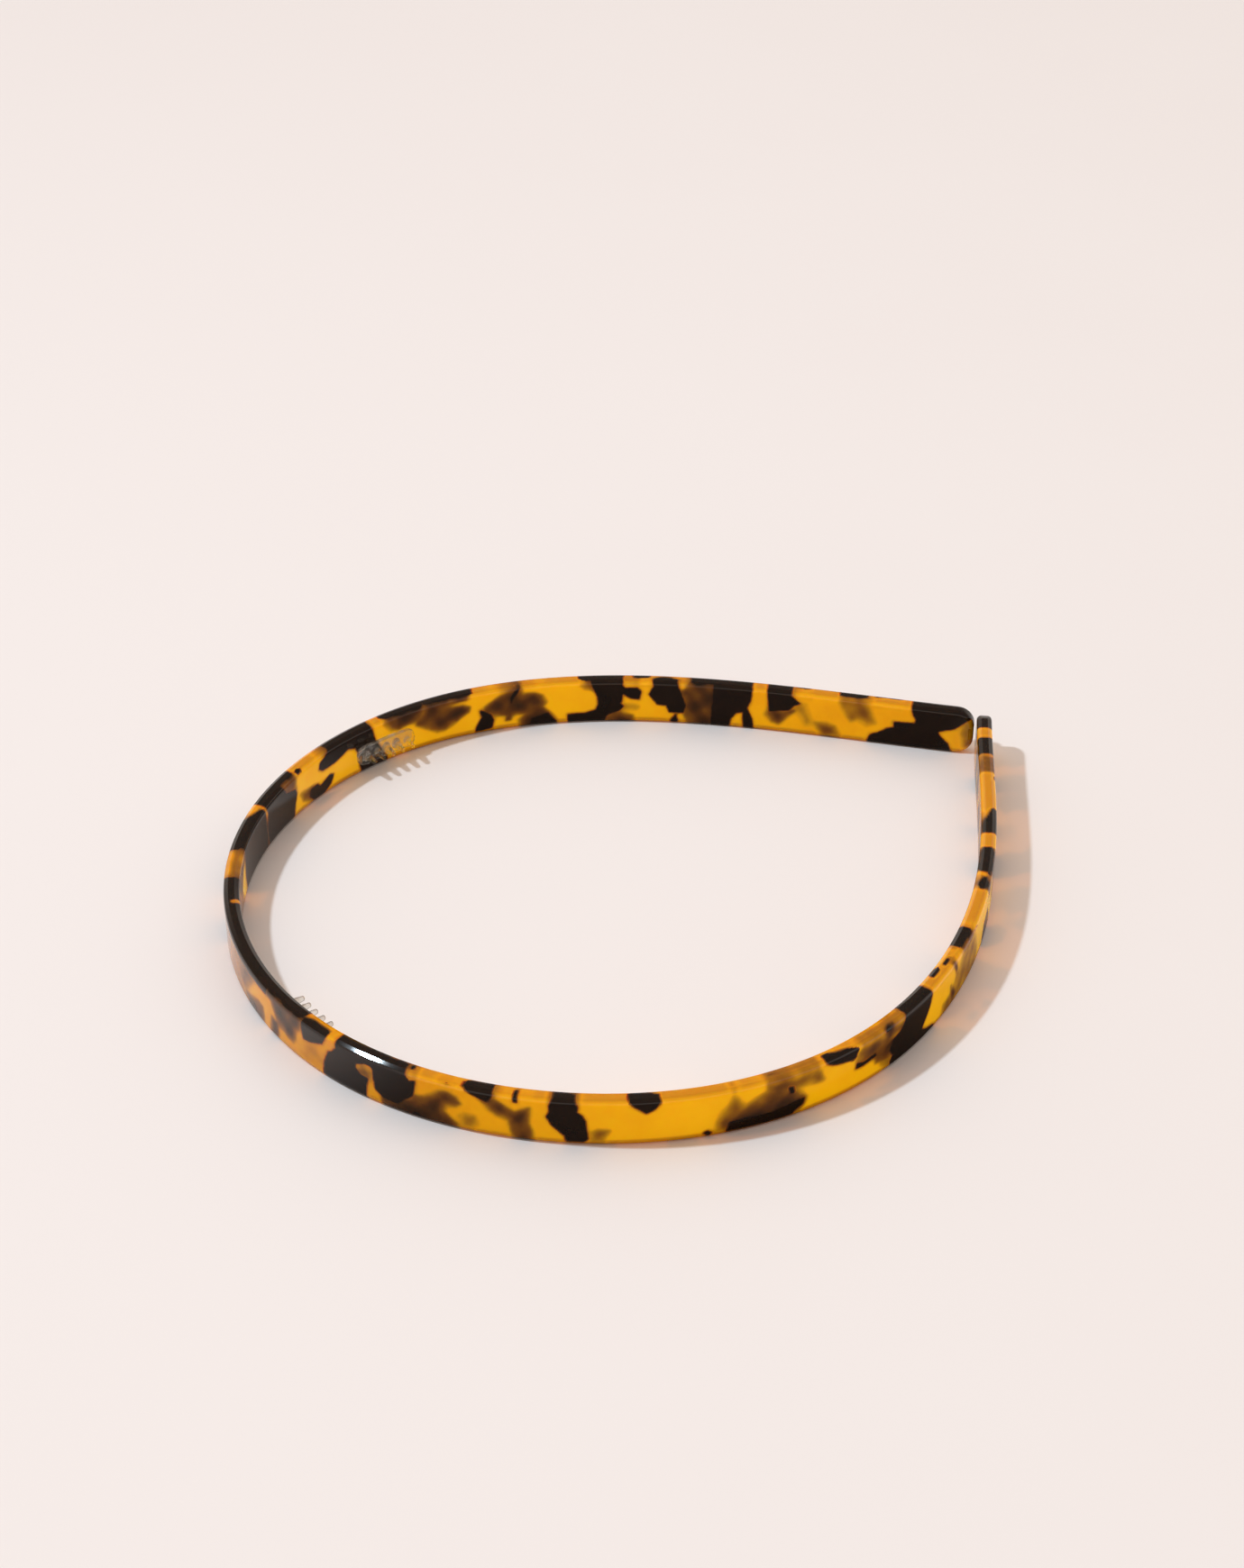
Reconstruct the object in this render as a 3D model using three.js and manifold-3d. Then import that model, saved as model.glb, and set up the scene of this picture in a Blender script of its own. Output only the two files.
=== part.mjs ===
// A slim acetate headband with three small clear combs bonded inside it, lying on its long edge.
// Millimetres. +Z runs across the width of the band, +X from the crown to the tips, and the two
// tips spring together: the left one (+Y side) stops against the inside of the right one.

import * as THREE from 'three';
import { mergeVertices } from 'three/addons/utils/BufferGeometryUtils.js';
import Module from 'manifold-3d';

// The strip that the band is bent from
const bandLength = 438.6;
const bandWidth = 10;
const bandThickness = 3;
const bandEdgeRadius = 0.95;
const tipCornerRadius = 3.6;
const tipGap = 0.3;

// How sharply the strip bends, in radians for each metre of its length, at the crown and then at
// even steps out to each tip. 16.25 is a radius of 61.5 mm, and a minus flares the tip outwards.
const crownBend = 16.25;
const leftBends = [17.37, 15.12, 5.26, -3.04];
const rightBends = [12.0, 16.09, 9.34, -4.72];

// The clear combs: a moulded strip with teeth, one near the crown and one on each side. combLevel
// is the middle of a comb above the band's lower edge.
const combSpacing = 96.2;
const crownCombAlong = 0.5;
const combLevel = 4.6;
const combLength = 14;
const combHeight = 4.2;
const combThickness = 1;
const combCornerRadius = 1.8;
const combEdgeRadius = 0.3;
const bondGap = 0.3;
const teethPerComb = 5;
const toothPitch = 2.45;
const toothLength = 3;
const toothWidth = 1.3;
const toothTipWidth = 0.85;
const toothDepth = 1.7;
const toothFootRadius = 0.3;
const toothSink = 0.3;

// How finely the curved surfaces are divided
const bandStep = 4;
const combStep = 1.8;
const pathStep = 0.25;
const cornerSteps = 5;
const bandEdgeSteps = 3;
const combEdgeSteps = 2;
const toothSides = 10;
const toothArcSteps = 3;

const armLength = bandLength / 2;

// The bend at a distance from the crown, read off in straight lines between the listed values
function bendAt(bends, distance) {
  const place = Math.min(distance / armLength, 1) * (bends.length - 1);
  const before = Math.min(Math.floor(place), bends.length - 2);
  return THREE.MathUtils.lerp(bends[before], bends[before + 1], place - before) / 1000;
}

// The middle line of one arm, walked out from the crown in short steps. side is 1 on the left arm
// and -1 on the right one, spring scales every bend, and turn is the crown's own heading.
function armLine(bends, side, spring, turn) {
  const count = Math.ceil(armLength / pathStep);
  const step = armLength / count;
  const line = [{ x: 0, y: 0, heading: side * Math.PI / 2 + turn }];
  for (let i = 0; i < count; i += 1) {
    const last = line[i];
    const middleBend = spring * bendAt(bends, (i + 0.5) * step);
    const middleHeading = last.heading - side * middleBend * step / 2;
    line.push({
      x: last.x + Math.cos(middleHeading) * step,
      y: last.y + Math.sin(middleHeading) * step,
      heading: last.heading - side * middleBend * step,
    });
  }
  return line;
}

function makeArms(spring, turn) {
  return {
    left: armLine([crownBend, ...leftBends], 1, spring, turn),
    right: armLine([crownBend, ...rightBends], -1, spring, turn),
  };
}

// A place on the bent strip: along runs from the crown, plus towards the right tip, and depth is
// how far in from the middle line, towards the head
function onStrip(arms, along, depth) {
  const side = along < 0 ? 1 : -1;
  const line = side > 0 ? arms.left : arms.right;
  const place = Math.min(Math.abs(along) / armLength, 1) * (line.length - 1);
  const before = Math.min(Math.floor(place), line.length - 2);
  const a = line[before];
  const b = line[before + 1];
  const x = THREE.MathUtils.lerp(a.x, b.x, place - before);
  const y = THREE.MathUtils.lerp(a.y, b.y, place - before);
  const heading = THREE.MathUtils.lerp(a.heading, b.heading, place - before);
  const inward = new THREE.Vector3(side * Math.sin(heading), -side * Math.cos(heading), 0);
  return { point: new THREE.Vector3(x, y, 0).addScaledVector(inward, depth), inward };
}

// The free space between the left tip's end and the inner face of the right arm
function tipRoom(spring) {
  const arms = makeArms(spring, 0);
  const innerFace = bandThickness / 2;
  const flatEnd = innerFace - bandEdgeRadius;
  let room = Infinity;
  for (const depth of [-flatEnd, 0, flatEnd]) {
    const end = onStrip(arms, -armLength, depth).point;
    let nearest = Infinity;
    let clear = 0;
    for (let along = armLength / 2; along <= armLength; along += armLength / 200) {
      const right = onStrip(arms, along, innerFace);
      const distance = right.point.distanceTo(end);
      if (distance < nearest) {
        nearest = distance;
        clear = end.clone().sub(right.point).dot(right.inward);
      }
    }
    room = Math.min(room, clear);
  }
  return room;
}

// The strip springs shut until the tips are tipGap apart: more spring brings them closer
function findSpring() {
  let open = 0.5;
  let shut = 1.5;
  for (let i = 0; i < 40; i += 1) {
    const middle = (open + shut) / 2;
    if (tipRoom(middle) > tipGap) {
      open = middle;
    } else {
      shut = middle;
    }
  }
  return (open + shut) / 2;
}

// The crown is turned so that the tips lie straight along +X from it
function findTurn(spring) {
  const arms = makeArms(spring, 0);
  const left = arms.left[arms.left.length - 1];
  const right = arms.right[arms.right.length - 1];
  return -Math.atan2(left.y + right.y, left.x + right.x);
}

const spring = findSpring();
const arms = makeArms(spring, findTurn(spring));

// The rounded edge of a slab, from its outer face over the top to its inner face: how far each
// point lies in from the outline, and how deep it lies from the middle of the slab
function edgeProfile(thickness, radius, steps) {
  const flat = thickness / 2 - radius;
  const profile = [];
  for (const face of [-1, 1]) {
    for (let i = 0; i <= steps; i += 1) {
      const angle = Math.PI / 2 * (face < 0 ? i : steps - i) / steps;
      profile.push({ inset: radius * (1 - Math.sin(angle)), depth: face * (flat + radius * Math.cos(angle)) });
    }
  }
  return profile;
}

// A slab with rounded corners and edges, laid flat along the bent strip. Its stations run from one
// end to the other, and each holds a ring of points: over the top edge and back along the bottom.
function bentSlab({ middle, length, height, cornerRadius, thickness, edgeRadius, edgeSteps, depth, level, step }) {
  const edge = Math.min(edgeRadius, thickness * 0.48);
  const corner = Math.min(Math.max(cornerRadius, edge), height * 0.48, length * 0.48);
  const profile = edgeProfile(thickness, edge, edgeSteps);
  const straight = length - 2 * corner;
  const stations = [];
  for (let i = 0; i <= cornerSteps; i += 1) {
    const angle = Math.PI / 2 * (1 - i / cornerSteps);
    stations.push({ along: -straight / 2, reach: -Math.sin(angle), rise: Math.cos(angle) });
  }
  const divisions = Math.ceil(straight / step);
  for (let i = 1; i < divisions; i += 1) {
    stations.push({ along: straight * (i / divisions - 0.5), reach: 0, rise: 1 });
  }
  for (let i = 0; i <= cornerSteps; i += 1) {
    const angle = Math.PI / 2 * i / cornerSteps;
    stations.push({ along: straight / 2, reach: Math.sin(angle), rise: Math.cos(angle) });
  }

  const positions = [];
  const ring = 2 * profile.length;
  for (const station of stations) {
    for (let j = 0; j < ring; j += 1) {
      const top = j < profile.length;
      const { inset, depth: within } = profile[top ? j : ring - 1 - j];
      const along = middle + station.along + station.reach * (corner - inset);
      const rise = height / 2 - corner + station.rise * (corner - inset);
      const { point } = onStrip(arms, along, depth + within);
      positions.push(point.x, point.y, level + (top ? rise : -rise));
    }
  }

  const index = [];
  const quad = (a, b, c, d) => index.push(a, c, b, a, d, c);
  for (let k = 0; k < stations.length - 1; k += 1) {
    for (let j = 0; j < ring; j += 1) {
      const next = (j + 1) % ring;
      quad(k * ring + j, k * ring + next, (k + 1) * ring + next, (k + 1) * ring + j);
    }
  }
  const lastRing = (stations.length - 1) * ring;
  for (let j = 0; j < profile.length - 1; j += 1) {
    quad(j, ring - 1 - j, ring - 2 - j, j + 1);
    quad(lastRing + j, lastRing + j + 1, lastRing + ring - 2 - j, lastRing + ring - 1 - j);
  }
  const geometry = new THREE.BufferGeometry();
  geometry.setAttribute('position', new THREE.Float32BufferAttribute(positions, 3));
  geometry.setIndex(index);
  geometry.computeVertexNormals();
  return geometry;
}

// One tooth: a tapered oval peg with a rounded tip, on a foot that flares into the strip
function toothGeometry() {
  const root = toothWidth / 2;
  const tip = toothTipWidth / 2;
  const foot = root + toothFootRadius;
  const outline = [new THREE.Vector2(0, -toothSink), new THREE.Vector2(foot, -toothSink)];
  for (let i = 0; i <= toothArcSteps; i += 1) {
    const angle = Math.PI / 2 * i / toothArcSteps;
    const x = foot - toothFootRadius * Math.sin(angle);
    outline.push(new THREE.Vector2(x, toothFootRadius * (1 - Math.cos(angle))));
  }
  for (let i = 0; i < toothArcSteps; i += 1) {
    const angle = Math.PI / 2 * i / toothArcSteps;
    outline.push(new THREE.Vector2(tip * Math.cos(angle), toothLength - tip + tip * Math.sin(angle)));
  }
  outline.push(new THREE.Vector2(0, toothLength));
  const geometry = new THREE.LatheGeometry(outline, toothSides);
  return geometry.scale(1, 1, toothDepth / toothWidth);
}

const wasm = await Module();
wasm.setup();

function toSolid(geometry) {
  const bare = geometry.clone();
  bare.deleteAttribute('normal');
  bare.deleteAttribute('uv');
  const merged = mergeVertices(bare, 1e-4);
  return new wasm.Manifold(new wasm.Mesh({
    numProp: 3,
    vertProperties: new Float32Array(merged.attributes.position.array),
    triVerts: new Uint32Array(merged.index.array),
  }));
}

function toGeometry(solid) {
  const mesh = solid.getMesh();
  const geometry = new THREE.BufferGeometry();
  geometry.setAttribute('position', new THREE.Float32BufferAttribute(mesh.vertProperties, 3));
  geometry.setIndex(Array.from(mesh.triVerts));
  geometry.computeVertexNormals();
  return geometry;
}

// A comb is moulded in one piece: its strip follows the inside of the band, on a line of adhesive
// that fills bondGap, and its teeth stand square to the strip and point at the head
function combGeometry(middle) {
  const depth = bandThickness / 2 + bondGap + combThickness / 2;
  let solid = toSolid(bentSlab({
    middle,
    length: combLength,
    height: combHeight,
    cornerRadius: combCornerRadius,
    thickness: combThickness,
    edgeRadius: combEdgeRadius,
    edgeSteps: combEdgeSteps,
    depth,
    level: combLevel,
    step: combStep,
  }));
  for (let i = 0; i < teethPerComb; i += 1) {
    const along = middle + (i - (teethPerComb - 1) / 2) * toothPitch;
    const { point, inward } = onStrip(arms, along, depth + combThickness / 2);
    point.z = combLevel;
    const up = new THREE.Vector3(0, 0, 1);
    const across = new THREE.Vector3().crossVectors(inward, up);
    const seat = new THREE.Matrix4().makeBasis(across, inward, up).setPosition(point);
    solid = solid.add(toSolid(toothGeometry().applyMatrix4(seat)));
  }
  return toGeometry(solid);
}

const acetate = new THREE.MeshStandardMaterial({ color: 0x8a4d12, roughness: 0.12, metalness: 0 });
const clearPlastic = new THREE.MeshStandardMaterial({
  color: 0xf2efe8,
  roughness: 0.08,
  metalness: 0,
  transparent: true,
  opacity: 0.35,
});

function addPiece(group, name, geometry, material) {
  const mesh = new THREE.Mesh(geometry, material);
  mesh.name = name;
  group.add(mesh);
  return mesh;
}

const headband = new THREE.Group();
headband.name = 'headband';

const band = addPiece(headband, 'band', bentSlab({
  middle: 0,
  length: bandLength,
  height: bandWidth,
  cornerRadius: tipCornerRadius,
  thickness: bandThickness,
  edgeRadius: bandEdgeRadius,
  edgeSteps: bandEdgeSteps,
  depth: 0,
  level: bandWidth / 2,
  step: bandStep,
}), acetate);
addPiece(headband, 'comb_left', combGeometry(-combSpacing), clearPlastic);
addPiece(headband, 'comb_crown', combGeometry(crownCombAlong), clearPlastic);
addPiece(headband, 'comb_right', combGeometry(combSpacing), clearPlastic);

// The origin is under the middle of the band's box
band.geometry.computeBoundingBox();
const box = band.geometry.boundingBox;
headband.position.set(-(box.min.x + box.max.x) / 2, -(box.min.y + box.max.y) / 2, -box.min.z);

export default headband;
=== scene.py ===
import math

import bpy
import numpy as np
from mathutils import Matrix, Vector


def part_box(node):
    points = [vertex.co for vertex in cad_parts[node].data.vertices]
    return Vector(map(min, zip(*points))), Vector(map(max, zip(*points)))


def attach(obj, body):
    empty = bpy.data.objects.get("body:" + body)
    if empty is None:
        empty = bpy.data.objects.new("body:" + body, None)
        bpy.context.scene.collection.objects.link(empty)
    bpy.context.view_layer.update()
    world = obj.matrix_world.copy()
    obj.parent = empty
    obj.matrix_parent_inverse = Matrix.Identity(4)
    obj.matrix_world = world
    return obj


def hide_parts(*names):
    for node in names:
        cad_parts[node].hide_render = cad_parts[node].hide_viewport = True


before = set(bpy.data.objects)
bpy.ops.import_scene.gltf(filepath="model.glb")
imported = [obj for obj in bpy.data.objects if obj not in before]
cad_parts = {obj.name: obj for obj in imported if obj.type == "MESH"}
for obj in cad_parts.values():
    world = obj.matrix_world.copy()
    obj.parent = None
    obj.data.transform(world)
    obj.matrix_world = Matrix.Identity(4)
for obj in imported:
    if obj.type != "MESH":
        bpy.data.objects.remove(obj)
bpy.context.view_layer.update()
print("frame loaded")

mm = 0.001


# colours are written as they look on a screen, 0 to 255, and used as light
def colour(red, green, blue):
    share = np.array([red, green, blue]) / 255
    light = np.where(share <= 0.04045, share / 12.92, ((share + 0.055) / 1.055) ** 2.4)
    return (*light.tolist(), 1.0)


# the camera stands where the photographer's did, and its side is the front of the scene
view = {
    "azimuth": -34.07,
    "elevation": 37,
    "distance": 0.64201,
    "target": (0.01335, 0.03086, 0),
    "lens": 74.21,
}


# a direction that is given as seen from the camera: degrees round from the right of the picture,
# plus away from the camera, and degrees up
def fromCamera(around, up):
    turn = math.radians(around + view["azimuth"])
    level = math.cos(math.radians(up))
    return Vector((level * math.cos(turn), level * math.sin(turn), math.sin(math.radians(up))))


# the lamp and the room; the mirrored strengths are what polished faces see of the room
light = {
    "keyAround": 187.4,
    "keyUp": 56.33,
    "keyDistance": 0.7714,
    "keyRadius": 0.025,
    "keyPower": 20.5,
    "keyColour": (0.8, 0.97, 1.1),
    "skyBright": 1.14,
    "skyDark": 0.42,
    "skyFrom": 0.1,
    "skyTo": 0.95,
    "skyColour": (1.0, 0.905, 0.82, 1.0),
    "mirroredLow": 0.9,
    "mirroredHigh": 0.24,
    "mirroredFrom": 0.22,
    "mirroredTo": 0.56,
    "clearBright": 0.4,
}


# the strip of acetate, in millimetres; the bends are radians per metre at even steps to each tip, and
# footDepth and litGain are shares
band = {
    "length": 438.6,
    "width": 10,
    "thickness": 3,
    "edgeRadius": 0.95,
    "cornerRadius": 3.6,
    "tipGap": 0.3,
    "crownBend": 16.25,
    "leftBends": [17.37, 15.12, 5.26, -3.04],
    "rightBends": [12.0, 16.09, 9.34, -4.72],
    "pathStep": 0.25,
    "step": 0.38,
    "cornerSteps": 14,
    "edgeSteps": 6,
    "flatSteps": 3,
    "faceRows": 25,
    # the foot values place the painted shade just above the foot
    "footTop": 1.6,
    "footFade": 0.5,
    "footDepth": 0.9,
    "litGain": 2.5,
}
armLength = band["length"] / 2


# heading is the running sum of the bend, and the line is the running sum of the heading's direction
def armLine(bends, side, spring, turn):
    count = math.ceil(armLength / band["pathStep"])
    step = armLength / count
    middle = (np.arange(count) + 0.5) * step
    listed = np.linspace(0, armLength, len(bends))
    bend = spring * np.interp(middle, listed, bends) * mm
    heading = side * (math.pi / 2 - np.concatenate([[0], np.cumsum(bend) * step])) + turn
    between = (heading[1:] + heading[:-1]) / 2
    steps = np.stack([np.cos(between), np.sin(between)], axis=1) * step
    points = np.concatenate([np.zeros((1, 2)), np.cumsum(steps, axis=0)])
    inward = side * np.stack([np.sin(heading), -np.cos(heading)], axis=1)
    return points, inward


def bothArms(spring, turn):
    left = armLine([band["crownBend"], *band["leftBends"]], 1, spring, turn)
    right = armLine([band["crownBend"], *band["rightBends"]], -1, spring, turn)
    return left, right


# the room between the left tip's end and the inner face of the right arm
def tipRoom(spring):
    (leftPoints, leftInward), (rightPoints, rightInward) = bothArms(spring, 0)
    face = band["thickness"] / 2
    flatEnd = face - band["edgeRadius"]
    wall = rightPoints + rightInward * face
    room = []
    for depth in (-flatEnd, 0, flatEnd):
        end = leftPoints[-1] + leftInward[-1] * depth
        nearest = np.argmin(np.linalg.norm(wall - end, axis=1))
        room.append((end - wall[nearest]) @ rightInward[nearest])
    return min(room)


# the strip springs shut until its tips are the gap apart, and lies with both tips along +X
def settledPath():
    loose, tight = 0.5, 1.5
    for _ in range(40):
        spring = (loose + tight) / 2
        if tipRoom(spring) > band["tipGap"]:
            loose = spring
        else:
            tight = spring
    (leftPoints, _), (rightPoints, _) = bothArms(spring, 0)
    reach = leftPoints[-1] + rightPoints[-1]
    turn = -math.atan2(reach[1], reach[0])
    (leftPoints, leftInward), (rightPoints, rightInward) = bothArms(spring, turn)
    along = np.linspace(0, armLength, len(leftPoints))
    return {
        "along": np.concatenate([-along[:0:-1], along]),
        "points": np.concatenate([leftPoints[:0:-1], rightPoints]),
        "inward": np.concatenate([leftInward[:0:-1], rightInward]),
    }


path = settledPath()


# a place on the bent strip: along from the crown, depth in from the middle line, height above the edge
def onStrip(along, depth, height):
    spot = [np.interp(along, path["along"], path["points"][:, axis]) for axis in (0, 1)]
    inward = [np.interp(along, path["along"], path["inward"][:, axis]) for axis in (0, 1)]
    size = np.hypot(*inward)
    x = spot[0] + inward[0] / size * depth
    y = spot[1] + inward[1] / size * depth
    return np.stack([x, y, np.broadcast_to(height, x.shape)], axis=-1)


# one ring of the slab's section, over the top, down the inner face, back below and up the outer face:
# a fillet point lies r(1 - sin a) in from the outline and T/2 - r + r cos a from the middle
def sectionRing(shape):
    radius = shape["edgeRadius"]
    flat = shape["thickness"] / 2 - radius
    angle = np.linspace(0, math.pi / 2, shape["edgeSteps"] + 1)
    level = np.linspace(-flat, flat, shape["flatSteps"] + 1)[1:-1]
    away = radius * (1 - np.sin(angle))
    inset = np.concatenate([away, 0 * level, away[::-1]])
    depth = np.concatenate([-flat - radius * np.cos(angle), level, flat + radius * np.cos(angle[::-1])])
    lift = np.concatenate([np.sin(angle), 0 * level + 1, np.sin(angle[::-1])])
    facing = np.concatenate([-np.cos(angle), 0 * level, np.cos(angle[::-1])])
    rows = np.linspace(1, -1, shape["faceRows"])[1:-1]
    still = np.ones_like(rows)
    half = shape["thickness"] / 2
    return {
        "inset": np.concatenate([inset, radius * still, inset[::-1], radius * still]),
        "depth": np.concatenate([depth, half * still, depth[::-1], -half * still]),
        "side": np.concatenate([0 * inset + 1, rows, 0 * inset - 1, rows[::-1]]),
        "lift": np.concatenate([lift, 0 * still, -lift[::-1], 0 * still]),
        "facing": np.concatenate([facing, still, facing[::-1], -still]),
        "profile": len(inset),
    }


# a slab with rounded corners and edges laid on the strip: rings at stations along it, closed by an end
# cap of rows at each end; a corner station at angle c reaches R sin c and rises R cos c
def slabGrid(shape):
    ring = sectionRing(shape)
    corner = shape["cornerRadius"]
    straight = shape["length"] - 2 * corner
    angle = np.linspace(math.pi / 2, 0, shape["cornerSteps"] + 1)
    divisions = math.ceil(straight / shape["step"])
    run = (np.arange(1, divisions) / divisions - 0.5) * straight
    centre = np.concatenate([0 * angle - straight / 2, run, 0 * angle + straight / 2])[:, None]
    reach = np.concatenate([-np.sin(angle), 0 * run, np.sin(angle[::-1])])[:, None]
    rise = np.concatenate([np.cos(angle), 0 * run + 1, np.cos(angle[::-1])])[:, None]
    half = shape["width"] / 2
    along = centre + reach * (corner - ring["inset"])
    height = ring["side"] * (half - corner + rise * (corner - ring["inset"]))
    depth = np.broadcast_to(ring["depth"], along.shape)
    normal = np.stack([
        reach * np.abs(ring["lift"]),
        np.broadcast_to(ring["facing"], along.shape),
        rise * ring["lift"],
    ], axis=-1)
    stations, around = along.shape
    number = np.arange(stations * around).reshape(stations, around)
    onward = np.roll(number, -1, axis=1)
    quads = [np.stack([number[:-1], number[1:], onward[1:], onward[:-1]], axis=-1).reshape(-1, 4)]
    coords = [np.stack([along, depth, height], axis=-1).reshape(-1, 3)]
    normals = [normal.reshape(-1, 3)]
    used = stations * around
    profile, rows = ring["profile"], shape["faceRows"]
    for station, sign in ((0, -1), (stations - 1, 1)):
        first = number[station]
        cap = np.zeros((rows, profile), int)
        cap[0] = first[:profile]
        cap[-1] = first[profile + rows - 2:2 * profile + rows - 2][::-1]
        cap[1:-1, -1] = first[profile:profile + rows - 2]
        cap[1:-1, 0] = first[2 * profile + rows - 2:][::-1]
        inner = np.arange((rows - 2) * (profile - 2)).reshape(rows - 2, profile - 2)
        cap[1:-1, 1:-1] = used + inner
        used += inner.size
        column = np.broadcast_to(np.arange(1, profile - 1), inner.shape).ravel()
        row = np.repeat(np.linspace(1, -1, rows)[1:-1], profile - 2)
        coords.append(np.stack([
            centre[station, 0] + sign * (corner - ring["inset"][column]),
            ring["depth"][column],
            row * (half - corner),
        ], axis=-1))
        lift, facing = ring["lift"][column], ring["facing"][column]
        normals.append(np.stack([sign * lift, facing, 0 * row], axis=-1))
        patch = np.stack([cap[:-1, :-1], cap[1:, :-1], cap[1:, 1:], cap[:-1, 1:]], axis=-1)
        quads.append((patch if sign < 0 else patch[..., ::-1]).reshape(-1, 4))
    return np.concatenate(coords), np.concatenate(normals), np.concatenate(quads).tolist()


# an object of smooth faces from points in millimetres
def newPiece(name, points, faces):
    mesh = bpy.data.meshes.new(name)
    mesh.from_pydata((points * mm).tolist(), [], faces)
    mesh.polygons.foreach_set("use_smooth", np.ones(len(mesh.polygons), bool))
    mesh.update()
    piece = bpy.data.objects.new(name, mesh)
    bpy.context.scene.collection.objects.link(piece)
    return piece


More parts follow.
